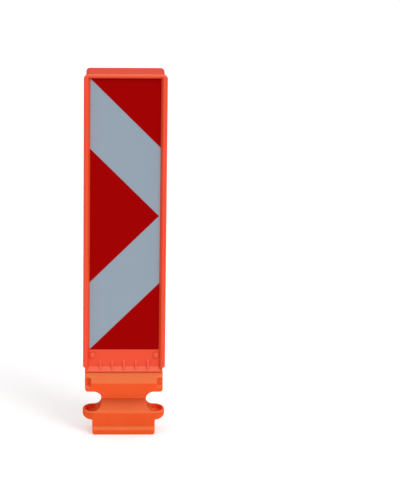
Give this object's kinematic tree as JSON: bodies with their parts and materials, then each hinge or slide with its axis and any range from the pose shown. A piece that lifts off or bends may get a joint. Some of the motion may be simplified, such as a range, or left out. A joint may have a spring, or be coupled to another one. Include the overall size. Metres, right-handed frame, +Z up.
{
  "type": "traffic barrier beacon",
  "caption": "Narrow upright lane beacon: a hollow plastic panel with diagonal red and pale reflective sheeting on a flexible plug-in foot with cupped ears.",
  "frame": {"origin": "middle of the foot's flat underside", "axes": "+Z up along the panel, the sheeted face looks along -Y, +X to the right seen from that face"},
  "size_m": [0.149, 0.08, 0.6707],
  "materials": {
    "panel_plastic": "satin moulded",
    "foot_elastomer": "matt moulded",
    "cap_plastic": "satin moulded",
    "pale_sheeting": "retroreflective",
    "red_film": "retroreflective",
    "zinc_steel": "zinc plated",
    "sleeve_plastic": "plain moulded"
  },
  "bodies": {
    "foot": {"foot": "foot_elastomer"},
    "panel": {"bolt_cap_left": "cap_plastic", "bolt_cap_right": "cap_plastic", "cover_screw_1": "zinc_steel", "cover_screw_2": "zinc_steel", "cover_screw_3": "zinc_steel", "cover_screw_4": "zinc_steel", "cover_screw_5": "zinc_steel", "cover_screw_6": "zinc_steel", "cover_screw_7": "zinc_steel", "cover_screw_8": "zinc_steel", "front_shell": "panel_plastic", "nut_cap_left": "cap_plastic", "nut_cap_right": "cap_plastic", "rear_cover": "panel_plastic", "red_film_lower": "red_film", "red_film_middle": "red_film", "red_film_upper": "red_film", "reflective_sheet": "pale_sheeting", "spacer_sleeve_left": "sleeve_plastic", "spacer_sleeve_right": "sleeve_plastic", "tie_bolt_left": "zinc_steel", "tie_bolt_right": "zinc_steel", "tie_nut_left": "zinc_steel", "tie_nut_right": "zinc_steel"}
  },
  "joints": [
    {"name": "foot_flex", "type": "hinge", "parent": "foot", "child": "panel", "pos_m": [0, 0, 0.0677], "axis": [1, 0, 0], "range_deg": [-50, 50], "stiffness_Nm_per_rad": 45, "deforming": ["foot"]}
  ]
}
